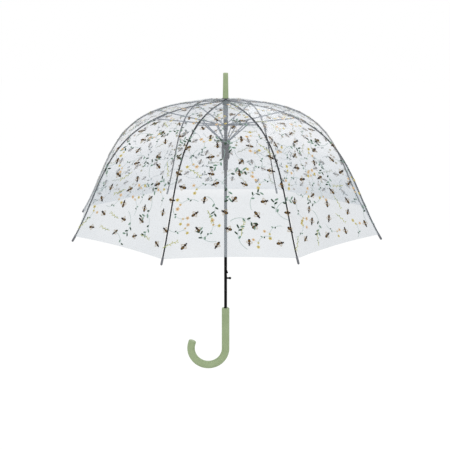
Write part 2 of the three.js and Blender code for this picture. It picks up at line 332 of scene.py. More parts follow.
def lookingRays(tree):
    # 1 for a ray that only looks, 0 for one that carries light to something else
    rays = addNode(tree, "ShaderNodeLightPath")
    seen = addNode(tree, "ShaderNodeMath", {"operation": "MAXIMUM"},
                   {0: rays.outputs["Is Camera Ray"], 1: rays.outputs["Is Glossy Ray"]})
    looked = addNode(tree, "ShaderNodeMath", {"operation": "MAXIMUM"},
                     {0: seen.outputs[0], 1: rays.outputs["Is Transmission Ray"]})
    return looked.outputs[0]


def floorMaterial():
    # white paper sweep: pale to every ray that only looks at it, and it still takes the shadow
    material, tree = newMaterial("paperSweep")
    looked = lookingRays(tree)
    glow = addNode(tree, "ShaderNodeMath", {"operation": "MULTIPLY", 1: floorSet["glow"]}, {0: looked})
    tone = addNode(tree, "ShaderNodeMapRange", {"To Min": floorSet["bounce"], "To Max": floorSet["shade"]},
                   {"Value": looked})
    paper = addNode(tree, "ShaderNodeBsdfDiffuse", links={"Color": tone.outputs[0]})
    emission = addNode(tree, "ShaderNodeEmission", {"Color": (1, 1, 1, 1)}, {"Strength": glow.outputs[0]})
    both = addNode(tree, "ShaderNodeAddShader", links={0: paper.outputs[0], 1: emission.outputs[0]})
    addNode(tree, "ShaderNodeOutputMaterial", links={"Surface": both.outputs[0]})
    return material


floor.data.materials.append(floorMaterial())

world = bpy.data.worlds.new("studio")
bpy.context.scene.world = world
world.use_nodes = True
world.node_tree.nodes.clear()
worldSet = {"light": 0.86}
strength = addNode(world.node_tree, "ShaderNodeMapRange", {"To Min": worldSet["light"], "To Max": 1.0},
                   {"Value": lookingRays(world.node_tree)})
sky = addNode(world.node_tree, "ShaderNodeBackground", {"Color": (1, 1, 1, 1)},
              {"Strength": strength.outputs[0]})
addNode(world.node_tree, "ShaderNodeOutputWorld", links={"Surface": sky.outputs[0]})

lamps = {
    "keyLamp": {"place": (-1.9, -3.0, 2.6), "size": 2.2, "power": 30},
    "fillLamp": {"place": (2.6, -1.6, 1.6), "size": 2.0, "power": 12},
    "backLamp": {"place": (1.2, 3.0, 2.4), "size": 2.0, "power": 36, "shine": 0.2},
}
lampAim = Vector((0, 0, 0.35))
for name, lamp in lamps.items():
    towards = lampAim - Vector(lamp["place"])
    bpy.ops.object.light_add(type="AREA", location=lamp["place"],
                             rotation=towards.to_track_quat("-Z", "Y").to_euler())
    light = activeAs(name)
    light.data.size = lamp["size"]
    light.data.energy = lamp["power"]
    light.data.specular_factor = lamp.get("shine", 1.0)
print("camera, floor and light")

# a rib's curve, in millimetres: the distance from the shaft's axis, and the height
ribs = {"count": 8, "firstAzimuth": math.radians(24), "kneeLength": 201.5, "kneeGap": 1.5, "setback": 10.0,
        "controls": ((6.9, 618.5), (344, 605), (322, 443), (425, 286)), "samples": 400}
halfStep = math.pi / ribs["count"]


def azimuthOf(k):
    return ribs["firstAzimuth"] + k * 2 * halfStep


def curveAt(t):
    a, b, c, d = (Vector(p) for p in ribs["controls"])
    u = 1 - t
    return a * u ** 3 + b * 3 * u * u * t + c * 3 * u * t * t + d * t ** 3


def slopeAt(t):
    a, b, c, d = (Vector(p) for p in ribs["controls"])
    u = 1 - t
    return ((b - a) * 3 * u * u + (c - b) * 6 * u * t + (d - c) * 3 * t * t).normalized()


arcTable = [0.0]
for step in range(ribs["samples"]):
    near, far = curveAt(step / ribs["samples"]), curveAt((step + 1) / ribs["samples"])
    arcTable.append(arcTable[-1] + (far - near).length)
ribLength = arcTable[-1]


def shareOf(length):
    length = min(max(length, 0.0), ribLength)
    low, high = 0, ribs["samples"]
    while high - low > 1:
        middle = (low + high) // 2
        if arcTable[middle] <= length:
            low = middle
        else:
            high = middle
    return (low + (length - arcTable[low]) / (arcTable[high] - arcTable[low])) / ribs["samples"]


def ribFrame(length):
    t = shareOf(length)
    point, slope = curveAt(t), slopeAt(t)
    return point, slope, Vector((-slope.y, slope.x))  # the last one points out of the dome


def sweptShape(name, profile, start, end, steps, ends=None):
    # profile: (sideways, outward) points; ends: how wide the section is, from start to end
    count = len(profile)
    clearSelection()
    bpy.ops.mesh.primitive_grid_add(x_subdivisions=count, y_subdivisions=steps, size=2)
    piece = activeAs(name)
    for vertex in piece.data.vertices:
        around = round((vertex.co.x + 1) / 2 * count) % count
        share = (vertex.co.y + 1) / 2
        point, _, outward = ribFrame(start + (end - start) * share)
        grow = ends(share) if ends else 1.0
        side, lift = profile[around][0] * grow, profile[around][1] * grow
        vertex.co = Vector((point.x + outward.x * lift, side, point.y + outward.y * lift)) * mm
    bpy.ops.object.mode_set(mode="EDIT")
    bpy.ops.mesh.select_all(action="SELECT")
    bpy.ops.mesh.remove_doubles(threshold=0.00001)
    bpy.ops.mesh.select_mode(type="EDGE")
    bpy.ops.mesh.select_all(action="DESELECT")
    bpy.ops.mesh.select_non_manifold()
    bpy.ops.mesh.edge_face_add()
    bpy.ops.mesh.select_all(action="SELECT")
    bpy.ops.mesh.normals_make_consistent(inside=False)
    bpy.ops.object.mode_set(mode="OBJECT")
    return piece


def roundProfile(radius, sides):
    return [(radius * math.cos(2 * math.pi * i / sides), radius * math.sin(2 * math.pi * i / sides))
            for i in range(sides)]


def turnedShape(name, outline, segments, closed=True):
    # outline: (radius, height) points in millimetres; each is a ring extruded from the last
    clearSelection()
    radius, height = outline[0]
    bpy.ops.mesh.primitive_circle_add(vertices=segments, radius=radius * mm, location=(0, 0, height * mm))
    piece = activeAs(name)
    placeInMesh(piece)
    bpy.ops.object.mode_set(mode="EDIT")
    bpy.ops.mesh.select_all(action="SELECT")
    for nextRadius, nextHeight in outline[1:]:
        bpy.ops.mesh.extrude_region_move(
            TRANSFORM_OT_translate={"value": (0, 0, (nextHeight - height) * mm)})
        scale = nextRadius / radius
        bpy.ops.transform.resize(value=(scale, scale, 1), center_override=(0, 0, nextHeight * mm))
        radius, height = nextRadius, nextHeight
    if not closed:
        bpy.ops.mesh.edge_face_add()
    bpy.ops.mesh.select_all(action="SELECT")
    bpy.ops.mesh.remove_doubles(threshold=0.000005)
    if not closed:
        bpy.ops.mesh.select_mode(type="EDGE")
        bpy.ops.mesh.select_all(action="DESELECT")
        bpy.ops.mesh.select_non_manifold()
        bpy.ops.mesh.edge_face_add()
        bpy.ops.mesh.select_all(action="SELECT")
    bpy.ops.mesh.normals_make_consistent(inside=False)
    bpy.ops.object.mode_set(mode="OBJECT")
    return piece


def boxCutter(low, high):
    clearSelection()
    bpy.ops.mesh.primitive_cube_add(size=1, location=[(a + b) / 2 * mm for a, b in zip(low, high)])
    cutter = activeAs("cutter")
    cutter.scale = [(b - a) * mm for a, b in zip(low, high)]
    placeInMesh(cutter)
    return cutter


def cutAway(piece, cutter):
    pickOnly(piece)
    cut = piece.modifiers.new("cut", "BOOLEAN")
    cut.operation = "DIFFERENCE"
    cut.solver = "EXACT"
    cut.object = cutter
    bpy.ops.object.modifier_apply(modifier=cut.name)
    removePiece(cutter)


def cutSlots(piece, low, high):
    first = boxCutter(low, high)
    cutters = [copyOf(first, f"cutter{k}", azimuthOf(k)) for k in range(ribs["count"])]
    removePiece(first)
    cutAway(piece, joinInto(cutters[0], cutters[1:]))


wireRadius = 0.35  # of the wires that the hinged bars are threaded on


def ringWire(name, radius, height):
    clearSelection()
    bpy.ops.mesh.primitive_torus_add(major_radius=radius * mm, minor_radius=wireRadius * mm,
                                     major_segments=48, minor_segments=8, location=(0, 0, height * mm))
    ring = activeAs(name)
    placeInMesh(ring)
    return ring


def finished(piece, material, body, replaced=()):
    piece.data.materials.clear()
    piece.data.materials.append(materials[material])
    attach(piece, body)
    if replaced:
        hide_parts(*replaced)
    return piece


# heights and radii in millimetres; fit is the bore of every piece that stands or slides on the shaft
shaft = {"radius": 4.0, "bore": 3.4, "fit": 4.3, "bottom": 14.0, "top": 658.0, "catch": 154.2,
         "button": 140.5, "slotHalf": 1.8, "slotBelow": 4.0, "slotAbove": 10.0, "buttonHole": 2.7}
fit = shaft["fit"]
tube = turnedShape("shaft", [(shaft["bore"], shaft["bottom"]), (shaft["radius"], shaft["bottom"]),
                             (shaft["radius"], shaft["top"]), (shaft["bore"], shaft["top"]),
                             (shaft["bore"], shaft["bottom"])], 48)
cutAway(tube, boxCutter((0.5, -shaft["slotHalf"], shaft["catch"] - shaft["slotBelow"]),
                        (6, shaft["slotHalf"], shaft["catch"] + shaft["slotAbove"])))
clearSelection()
bpy.ops.mesh.primitive_cylinder_add(vertices=24, radius=shaft["buttonHole"] * mm, depth=6 * mm,
                                    location=(4.5 * mm, 0, shaft["button"] * mm),
                                    rotation=(0, math.pi / 2, 0))
buttonCutter = activeAs("buttonCutter")
placeInMesh(buttonCutter)
cutAway(tube, buttonCutter)
smoothByAngle(tube)
finished(tube, "blackPaintedSteel", "frame", ["shaft_tube"])

ferruleSet = {"outline": [(fit, 626.3), (7.1, 626.3), (7.4, 626.7), (7.5, 627.8), (7.45, 629), (6.42, 690.0),
                          (6.25, 691.1), (5.8, 691.8), (5.2, 692.0), (0.4, 692.0)]}
ferrule = turnedShape("ferrule", ferruleSet["outline"], 64, closed=False)
smoothByAngle(ferrule)
finished(ferrule, "sagePlastic", "frame", ["ferrule"])

cap = turnedShape("film_washer", [(fit, 624.4), (9.9, 624.4), (10.4, 624.8), (10.5, 625.2), (10.2, 625.8),
                                  (9.8, 626), (fit, 626), (fit, 624.4)], 64)
smoothByAngle(cap)
finished(cap, "greyPlastic", "frame", ["canopy_cap"])

crown = turnedShape("crown", [(fit, 608.5), (7.2, 608.5), (7.7, 608.7), (8.1, 609.2), (8.2, 609.8),
                              (8.2, 620.6), (8.1, 621.2), (7.8, 621.7), (7.3, 622), (fit, 622),
                              (fit, 608.5)], 64)
cutSlots(crown, (5.1, -1.1, 607), (10, 1.1, 620.4))
smoothByAngle(crown)
finished(crown, "blackNylon", "frame", ["crown"])
finished(ringWire("crown_wire", *ribs["controls"][0]), "springSteel", "frame")

stop = turnedShape("stop_sleeve", [(fit, 571.2), (5.7, 571.2), (6.2, 571.5), (6.5, 572.2), (6.5, 604.6),
                                   (6.2, 606), (5.6, 607.6), (5.3, 608), (fit, 608), (fit, 571.2)], 64)
smoothByAngle(stop)
finished(stop, "greyPlastic", "frame", ["stop_sleeve"])
print("shaft, ferrule, crown")

# each bar turns on its pivot (radius, height), stands to one side of the rib's plane, and lies in a slot
bars = {"stretcherPivot": (5.9, 556.0), "stretcherSide": 2.5, "strutPivot": (9.5, 514.5), "strutSide": 0.8,
        "strutReach": 61.0, "thickness": 1.4, "slotHalf": 1.1}
hub = turnedShape("hub", [(fit, 542.5), (5.8, 542.5), (6.1, 542.8), (6.1, 551.4), (6.3, 551.9), (6.8, 552.2),
                          (7, 552.6), (7, 559.6), (6.8, 560), (6.3, 560.4), (6.1, 560.8), (6.1, 569.3),
                          (5.8, 569.6), (fit, 569.6), (fit, 542.5)], 64)
cutSlots(hub, (4.25, bars["stretcherSide"] - bars["slotHalf"], 554.1),
         (9, bars["stretcherSide"] + bars["slotHalf"], 571))
smoothByAngle(hub)
finished(hub, "blackNylon", "upper_hub", ["upper_hub"])
hubWire = ringWire("hub_wire", math.hypot(bars["stretcherPivot"][0], bars["stretcherSide"]),
                   bars["stretcherPivot"][1])
finished(hubWire, "springSteel", "upper_hub")

runner = turnedShape("runner", [
    (fit, 436), (5.5, 436), (5.9, 436.3), (6, 437), (6, 465.2), (6.2, 465.9), (9, 467.6), (10.1, 468.6),
    (10.5, 469.8), (10.5, 507.2), (10.6, 507.8), (11.4, 511.2), (11.5, 511.8), (11.5, 517), (11.2, 517.4),
    (10.8, 517.5), (6.8, 517.5), (6.4, 517.1), (6.4, 501.5), (fit, 501.5), (fit, 436)], 72)
cutSlots(runner, (8, bars["strutSide"] - bars["slotHalf"], 512.6),
         (13, bars["strutSide"] + bars["slotHalf"], 519))
cutAway(runner, boxCutter((2, -2.2, 439), (8, 2.2, 448)))
smoothByAngle(runner)
finished(runner, "blackNylon", "runner", ["runner"])
runnerWire = ringWire("runner_wire", math.hypot(bars["strutPivot"][0], bars["strutSide"]),
                      bars["strutPivot"][1])
finished(runnerWire, "springSteel", "runner")

coil = {"radius": 5.3, "wire": 0.45, "low": 502.25, "high": 541.75, "turns": 8, "sides": 8, "perTurn": 24}
clearSelection()
bpy.ops.mesh.primitive_grid_add(x_subdivisions=coil["sides"],
                                y_subdivisions=coil["turns"] * coil["perTurn"], size=2)
spring = activeAs("spring")
for vertex in spring.data.vertices:
    around = (vertex.co.x + 1) * math.pi
    share = (vertex.co.y + 1) / 2
    angle = 2 * math.pi * coil["turns"] * share
    radius = coil["radius"] + coil["wire"] * math.cos(around)
    height = coil["low"] + (coil["high"] - coil["low"]) * share + coil["wire"] * math.sin(around)
    vertex.co = Vector((radius * math.cos(angle), radius * math.sin(angle), height)) * mm
tidyMesh(spring)
pickOnly(spring)
bpy.ops.object.mode_set(mode="EDIT")
bpy.ops.mesh.select_mode(type="EDGE")
bpy.ops.mesh.select_all(action="DESELECT")
bpy.ops.mesh.select_non_manifold()
bpy.ops.mesh.edge_face_add()
bpy.ops.object.mode_set(mode="OBJECT")
tidyMesh(spring)
smoothByAngle(spring, 50)
finished(spring, "springSteel", "runner", ["opening_spring"])
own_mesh(spring)
print("hub, runner and spring")

grip = {"radius": 10.4, "bend": 47.0, "start": -58.0, "angle": 197.0, "steps": 42, "tail": 6.0,
        "nose": 3.1, "noseSteps": 7, "noseSweep": math.radians(80)}
handle = turnedShape("crook_handle", [
    (fit, 13.7), (fit, 56.4), (4.7, 57), (8.3, 57), (9.2, 56.7), (9.9, 56.0), (10.3, 55.1),
    (grip["radius"], 54.2), (grip["radius"], -20), (grip["radius"], grip["start"])], 48)
pickOnly(handle)
bpy.ops.object.mode_set(mode="EDIT")
bpy.ops.mesh.select_mode(type="VERT")
bpy.ops.mesh.select_all(action="DESELECT")
bpy.ops.object.mode_set(mode="OBJECT")
for vertex in handle.data.vertices:
    vertex.select = abs(vertex.co.z - grip["start"] * mm) < 1e-6
bpy.ops.object.mode_set(mode="EDIT")
bpy.ops.mesh.spin(steps=grip["steps"], angle=-math.radians(grip["angle"]), axis=(0, 1, 0),
                  center=(-grip["bend"] * mm, 0, grip["start"] * mm))
bpy.ops.object.mode_set(mode="OBJECT")
endLoop = [v.co.copy() for v in handle.data.vertices if v.select]
middle = sum(endLoop, Vector()) / len(endLoop)
turn = math.radians(grip["angle"])
forward = Vector((-math.sin(turn), 0, -math.cos(turn)))
bpy.ops.object.mode_set(mode="EDIT")
bpy.ops.mesh.extrude_region_move(TRANSFORM_OT_translate={"value": forward * grip["tail"] * mm})
middle = middle + forward * grip["tail"] * mm
reach, width = 0.0, 1.0
for step in range(1, grip["noseSteps"] + 1):
    angle = grip["noseSweep"] * step / grip["noseSteps"]
    nextReach, nextWidth = grip["nose"] * math.sin(angle), math.cos(angle) ** 0.6
    bpy.ops.mesh.extrude_region_move(
        TRANSFORM_OT_translate={"value": forward * (nextReach - reach) * mm})
    shrink = nextWidth / width
    bpy.ops.transform.resize(value=(shrink, shrink, shrink),
                             center_override=middle + forward * nextReach * mm)
    reach, width = nextReach, nextWidth
bpy.ops.mesh.edge_face_add()
bpy.ops.mesh.select_mode(type="EDGE")
bpy.ops.mesh.select_all(action="DESELECT")
bpy.ops.mesh.select_non_manifold()
bpy.ops.mesh.edge_face_add()
bpy.ops.object.mode_set(mode="OBJECT")
tidyMesh(handle)
smoothByAngle(handle)
finished(handle, "sagePlastic", "frame", ["crook_handle"])

button = turnedShape("release_button", [
    (2.4, 2.2), (2.4, 8.8), (2.7, 9.1), (3.0, 9.6), (3.4, 11.0), (3.4, 12.2), (3.2, 13.4), (2.6, 14.2),
    (1.9, 14.8), (1.0, 15.1), (0.3, 15.2)], 32, closed=False)
button.data.transform(Matrix.Translation((0, 0, shaft["button"] * mm)) @ Matrix.Rotation(math.pi / 2, 4, "Y"))
smoothByAngle(button)
finished(button, "blackNylon", "button", ["release_button"])
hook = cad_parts["catch_hook"]
hook.data.materials.clear()
hook.data.materials.append(materials["blackPaintedSteel"])
print("grip, button and catch")

channelProfile = [(-1.5, 1.4), (-0.9, 1.4), (-0.9, -0.7), (0.9, -0.7), (0.9, 1.4), (1.5, 1.4), (1.5, -1.4),
                  (-1.5, -1.4)]
tongueProfile = [(-0.8, -1.2), (0.8, -1.2), (0.8, 1.2), (-0.8, 1.2)]
kneeProfile = [(1.5, 1.7), (-2.4, 1.7), (-2.4, -2.0), (-1.6, -2.6), (0.7, -2.6), (1.5, -2.0)]
# lengths along the rib, and radii
ribShape = {"channelStart": 13, "channelBack": 36, "blockBack": 38, "sleeve": 14, "sleeveRadius": 2.35,
            "rodRadius": 1.9, "tip": 20, "tipRadius": 2.75}
knee, gap = ribs["kneeLength"], ribs["kneeGap"]


def rivet(name, place, low, high, radius=1.25):
    # a round-headed pin along Y at (radius, height), from low to high
    pin = turnedShape(name, [(0.35 * radius, high), (0.75 * radius, high - 0.12), (radius, high - 0.4),
                             (radius, high - 0.5), (0.62, high - 0.5), (0.62, low + 0.5), (radius, low + 0.5),
                             (radius, low + 0.4), (0.75 * radius, low + 0.12), (0.35 * radius, low)][::-1],
                      16, closed=False)
    pin.data.transform(Matrix.Translation((place[0] * mm, 0, place[1] * mm))
                       @ Matrix.Rotation(-math.pi / 2, 4, "X"))
    return pin


channel = sweptShape("channel", channelProfile, ribShape["channelStart"], knee - ribShape["channelBack"], 26)
tongue = sweptShape("tongue", tongueProfile, 0.4, ribShape["channelStart"] + 2, 4)
bevelEdges(channel, 0.12 * mm)
bevelEdges(tongue, 0.15 * mm)
kneeBlock = sweptShape("kneeBlock", kneeProfile, knee - ribShape["blockBack"], knee - gap, 8)
bevelEdges(kneeBlock, 0.35 * mm, 3)
kneePoint, _, _ = ribFrame(knee - ribs["setback"])
crownEye = turnedShape("crownEye", [(0.5, -0.8), (1.5, -0.8), (1.5, 0.8), (0.5, 0.8), (0.5, -0.8)], 20)
crownPivot = ribs["controls"][0]
crownEye.data.transform(Matrix.Translation((crownPivot[0] * mm, 0, crownPivot[1] * mm))
                        @ Matrix.Rotation(math.pi / 2, 4, "X"))
ribSteel = joinInto(channel, [tongue, crownEye])
smoothByAngle(ribSteel)
smoothByAngle(kneeBlock)
kneePin = rivet("kneePin", kneePoint, -2.7, 3.7)
smoothByAngle(kneePin)



def tipWidth(share):
    # a short cone where the rod enters, and a round nose
    nose = max(0, (share - 0.85) / 0.15)
    return min(1.0, 0.72 + share * 5.6, math.sqrt(max(1.02 - nose ** 2, 0.02)))


rodStart, sleeveEnd, tipStart = knee + gap, knee + gap + ribShape["sleeve"], ribLength - ribShape["tip"]
sleeve = sweptShape("sleeve", roundProfile(ribShape["sleeveRadius"], 20), rodStart, sleeveEnd, 6,
                    ends=lambda share: 1.0 if share < 0.9 else 0.84)
rod = sweptShape("rod", roundProfile(ribShape["rodRadius"], 14), sleeveEnd - 1, tipStart + 1, 60)
tip = sweptShape("tip", roundProfile(ribShape["tipRadius"], 24), tipStart, ribLength, 20, ends=tipWidth)
for piece in (sleeve, rod, tip):
    smoothByAngle(piece, 50)


def flatBar(name, begin, finish, side, halfHeight, thickness):
    # strip steel with round ends and a pressed groove that stiffens it
    reach = Vector((finish[0] - begin[0], finish[1] - begin[1]))
    clearSelection()
    bpy.ops.mesh.primitive_circle_add(vertices=32, radius=halfHeight * mm, fill_type="NGON")
    bar = activeAs(name)
    for vertex in bar.data.vertices:
        if vertex.co.x > 1e-7:
            vertex.co.x += reach.length * mm
    bar.data.update()
    bpy.ops.object.mode_set(mode="EDIT")
    bpy.ops.mesh.select_all(action="SELECT")
    bpy.ops.transform.translate(value=(0, 0, -thickness / 2 * mm))
    bpy.ops.mesh.extrude_region_move(TRANSFORM_OT_translate={"value": (0, 0, thickness * mm)})
    bpy.ops.mesh.select_all(action="SELECT")
    bpy.ops.mesh.normals_make_consistent(inside=False)
    bpy.ops.mesh.select_all(action="DESELECT")
    bpy.ops.object.mode_set(mode="OBJECT")
    for face in bar.data.polygons:
        face.select = abs(face.normal.z) > 0.9
    bpy.ops.object.mode_set(mode="EDIT")
    bpy.ops.mesh.select_mode(type="FACE")
    bpy.ops.mesh.inset(thickness=halfHeight * 0.36 * mm, depth=0)
    bpy.ops.mesh.inset(thickness=halfHeight * 0.12 * mm, depth=-0.28 * mm)
    bpy.ops.object.mode_set(mode="OBJECT")
    bevelEdges(bar, 0.1 * mm, 1, 60)
    bar.data.transform(Matrix.Translation((begin[0] * mm, side * mm, begin[1] * mm))
                       @ Matrix.Rotation(-math.atan2(reach.y, reach.x), 4, "Y")
                       @ Matrix.Rotation(math.pi / 2, 4, "X"))
    smoothByAngle(bar)
    return bar


hubPivot, runnerPivot = Vector(bars["stretcherPivot"]), Vector(bars["strutPivot"])
strutEnd = hubPivot + (kneePoint - hubPivot).normalized() * bars["strutReach"]
stretcher = flatBar("stretcherBar", hubPivot, kneePoint, bars["stretcherSide"], 1.45, bars["thickness"])
strut = flatBar("strutBar", runnerPivot, strutEnd, bars["strutSide"], 1.5, bars["thickness"])
strutPin = rivet("strutPin", strutEnd, -0.4, 3.7, 1.2)
smoothByAngle(strutPin)

ribPieces = [
    (ribSteel, "rib_channel_{}", "blackPaintedSteel", "rib_{}", "black_steel", "rib_upper_{}"),
    (kneeBlock, "knee_block_{}", "blackNylon", "rib_{}", "black_plastic", "rib_upper_{}"),
    (kneePin, "knee_rivet_{}", "springSteel", "rib_{}", "spring_steel", None),
    (sleeve, "rod_sleeve_{}", "blackNylon", "rod_{}", "black_plastic", "rib_lower_{}"),
    (rod, "rod_{}_fibre", "glassFibre", "rod_{}", "fibreglass", "rib_lower_{}"),
    (tip, "rib_tip_{}", "greyPlastic", "rod_{}", "grey_plastic", "rib_lower_{}"),
    (stretcher, "stretcher_bar_{}", "zincPlatedSteel", "stretcher_{}", "spring_steel", "stretcher_{}"),
    (strut, "strut_bar_{}", "zincPlatedSteel", "strut_{}", "spring_steel", "strut_{}"),
    (strutPin, "strut_rivet_{}", "springSteel", "stretcher_{}", "spring_steel", None),
]
for k in range(ribs["count"]):
    for piece, name, material, body, slot, node in ribPieces:
        finished(copyOf(piece, name.format(k), azimuthOf(k)), material, body.format(k),
                 [node.format(k)] if node else [])
for piece, *_ in ribPieces:
    removePiece(piece)
print("ribs, stretchers and struts")

# millimetres; sag is a share of the radius, and spread is how often a fold or ripple repeats round and along
film = {"lift": 3.0, "crownLift": 2.0, "crownFade": 14, "thickness": 0.3, "sag": 0.012, "start": 0.8,
        "hemSetback": 14.5, "scallop": 3.0, "freeFrom": 90,
        "fold": 1.1, "foldSpread": (5.2, 0.0042), "ripple": 0.7, "rippleSpread": (9, 0.021)}
hemLength = ribLength - film["hemSetback"]


def ridgeOf(along, outward=0.0):
    point, _, out = ribFrame(along)
    fade = math.exp(-min(max(along, 0), ribLength) / film["crownFade"])
    lift = film["lift"] + film["crownLift"] * fade + outward
    return point.x + out.x * lift, point.y + out.y * lift


def filmPoint(k, along, local, outward):
    # local: azimuth from this rib; the surface is symmetric about each mid-gore plane
    ridge, height = ridgeOf(along, outward)
    across = abs(local) / halfStep
    chord = math.cos(halfStep) / math.cos(halfStep - abs(local))
    mid = 1 - (1 - across) ** 2
    azimuth = azimuthOf(k) + local
    # long folds that the pull of the ribs leaves, and small ripples; none at a rib or at the crown
    free = mid * min(1.0, along / film["freeFrom"])
    way = Vector((math.cos(azimuth), math.sin(azimuth), 0))
    foldRound, foldAlong = film["foldSpread"]
    rippleRound, rippleAlong = film["rippleSpread"]
    fold = noise.noise(way * foldRound + Vector((0, 0, along * foldAlong)))
    ripple = noise.noise(way * rippleRound + Vector((0, 0, along * rippleAlong + 7)))
    radius = ridge * chord * (1 - film["sag"] * mid) + free * (film["fold"] * fold + film["ripple"] * ripple)
    return Vector((radius * math.cos(azimuth), radius * math.sin(azimuth), height)) * mm


def filmSection(name, k, side, start, end, columns, rows, scallop):
    # the half gore on one side of rib k: side 1 is further round, side -1 is behind
    clearSelection()
    bpy.ops.mesh.primitive_grid_add(x_subdivisions=columns, y_subdivisions=rows, size=2)
    sheet = activeAs(name)
    flatMap = sheet.data.uv_layers[0]
    flatMap.name = "flat"
    flatPlace = []
    for vertex in sheet.data.vertices:
        across, share = -vertex.co.x, (vertex.co.y + 1) / 2
        across = (across + side) / 2
        rise = scallop * share ** 4 * (1 - (1 - abs(across)) ** 2)
        row = start + (end - start) * share
        flatPlace.append((across * ridgeOf(row)[0] * math.sin(halfStep) * mm, (hemLength - row) * mm))
        vertex.co = filmPoint(k, row - rise, across * halfStep, film["thickness"] / 2)
    for loop in sheet.data.loops:
        flatMap.data[loop.index].uv = flatPlace[loop.vertex_index]
    smoothByAngle(sheet, 60)
    area = sum(face.area for face in sheet.data.polygons)
    return sheet, area


# the print: small generic motifs, each drawn flat in millimetres and laid over the film later
def disc(width, length, centre, turn, ink, sides=8):
    clearSelection()
    bpy.ops.mesh.primitive_circle_add(vertices=sides, radius=0.5, fill_type="NGON", rotation=(0, 0, turn),
                                      location=(centre[0], centre[1], 0))
    part = activeAs("motifPart")
    part.scale = (width, length, 1)
    placeInMesh(part)
    part.data.materials.append(inks[ink])
    return part


def stemStrip(points, width, ink="stem"):
    clearSelection()
    bpy.ops.mesh.primitive_grid_add(x_subdivisions=1, y_subdivisions=len(points) - 1, size=2)
    part = activeAs("motifPart")
    for vertex in part.data.vertices:
        i = round((vertex.co.y + 1) / 2 * (len(points) - 1))
        here = Vector(points[i])
        along = Vector(points[min(i + 1, len(points) - 1)]) - Vector(points[max(i - 1, 0)])
        side = Vector((-along.y, along.x)).normalized() * width / 2
        taper = 1 - 0.4 * i / (len(points) - 1)
        place = here - side * vertex.co.x * taper
        vertex.co = (place.x, place.y, 0)
    part.data.materials.append(inks[ink])
    return part


def arcPoints(length, bend, count, begin, heading):
    points, here, angle = [tuple(begin)], Vector(begin), heading
    for _ in range(count):
        angle += bend / count
        here = here + Vector((math.cos(angle), math.sin(angle))) * length / count
        points.append((here.x, here.y))
    return points


beeBands = ((-5.4, -4.7), (-3.1, -2.0))  # where the amber bands lie along the body


def bee():
    body = disc(7.2, 11.0, (0, -3.4), 0, "beeBrown", 12)
    pickOnly(body)
    bpy.ops.object.mode_set(mode="EDIT")
    for band in beeBands:
        for level in band:
            bpy.ops.mesh.select_all(action="SELECT")
            bpy.ops.mesh.bisect(plane_co=(0, level, 0), plane_no=(0, 1, 0))
    bpy.ops.object.mode_set(mode="OBJECT")
    body.data.materials.append(inks["beeAmber"])
    for face in body.data.polygons:
        if any(low < face.center.y < high for low, high in beeBands):
            face.material_index = 1
    chest = disc(7.0, 5.8, (0, 4.2), 0, "beeAmber")
    chestDark = disc(6.2, 5.4, (0, 4.7), 0, "beeBrown")
    chestDark.data.transform(Matrix.Translation((0, 0, 0.02)))
    head = disc(4.4, 3.6, (0, 8.4), 0, "beeBrown")
    wings = []
    for side in (1, -1):
        wings.append(disc(3.2, 8.4, (side * 5.8, 1.8), side * math.radians(58), "beeWing"))
        wings.append(disc(2.6, 6.0, (side * 5.3, -1.8), side * math.radians(104), "beeWing"))
        wings.append(stemStrip([(side * 0.6, 8.2), (side * 1.8, 10.0), (side * 2.8, 10.6)], 0.4, "beeBrown"))
    return joinInto(body, [chest, chestDark, head, *wings])


def leafAt(points, i, side, ink, length, width=3.3):
    here = Vector(points[i])
    along = (Vector(points[min(i + 1, len(points) - 1)]) - Vector(points[max(i - 1, 0)])).normalized()
    heading = math.atan2(along.y, along.x) + side * math.radians(48)
    centre = here + Vector((math.cos(heading), math.sin(heading))) * (length / 2 + 0.4)
    return disc(width, length, centre, heading - math.pi / 2, ink, 8)


def leafSprig(ink, other):
    points = arcPoints(62, math.radians(95), 12, (18, -28), math.radians(115))
    stem = stemStrip(points, 1.3)
    leaves = [leafAt(points, 12 - i, side, ink if i % 3 else other, 11.5 - 0.35 * i, 4.5)
              for i, side in ((0, 1), (1, -1), (2, 1), (4, -1), (6, 1))]
    return joinInto(stem, leaves)


def flower(centre, size, ink, heart):
    petals = []
    for i in range(5):
        angle = 2 * math.pi * i / 5 + 0.3
        offset = Vector((math.cos(angle), math.sin(angle))) * size * 0.28
        petals.append(disc(size * 0.42, size * 0.5, Vector(centre) + offset, angle - math.pi / 2, ink, 6))
    middle = disc(size * 0.3, size * 0.3, centre, 0, heart, 6)
    middle.data.transform(Matrix.Translation((0, 0, 0.03)))
    return petals + [middle]


def flowerSprig(ink, other):
    points = arcPoints(54, math.radians(-110), 10, (-16, -22), math.radians(100))
    stem = stemStrip(points, 1.05)
    side = arcPoints(14, math.radians(50), 4, points[7], math.radians(60))
    branch = stemStrip(side, 0.6)
    parts = flower(points[10], 9.0, ink, "beeAmber") + flower(side[4], 8.0, other, "beeAmber")
    parts += flower(points[8], 6.0, ink, "sprig")
    parts += [leafAt(points, 4, 1, "leafGrey", 6.0), leafAt(points, 3, -1, "leafDark", 5.4)]
    return joinInto(stem, [branch, *parts])


def straightSprig():
    points = arcPoints(34, math.radians(14), 6, (0, -17), math.radians(88))
    stem = stemStrip(points, 1.5, "sprig")
    leaves = [leafAt(points, i, side, "sprig", 5.2, 1.7)
              for i, side in ((6, 1), (6, -1), (5, 1), (4, -1), (3, 1))]
    leaves += [leafAt(points, 2, -1, "leafGrey", 5.0, 2.0), leafAt(points, 1, 1, "leafGrey", 4.6, 2.0)]
    return joinInto(stem, leaves)


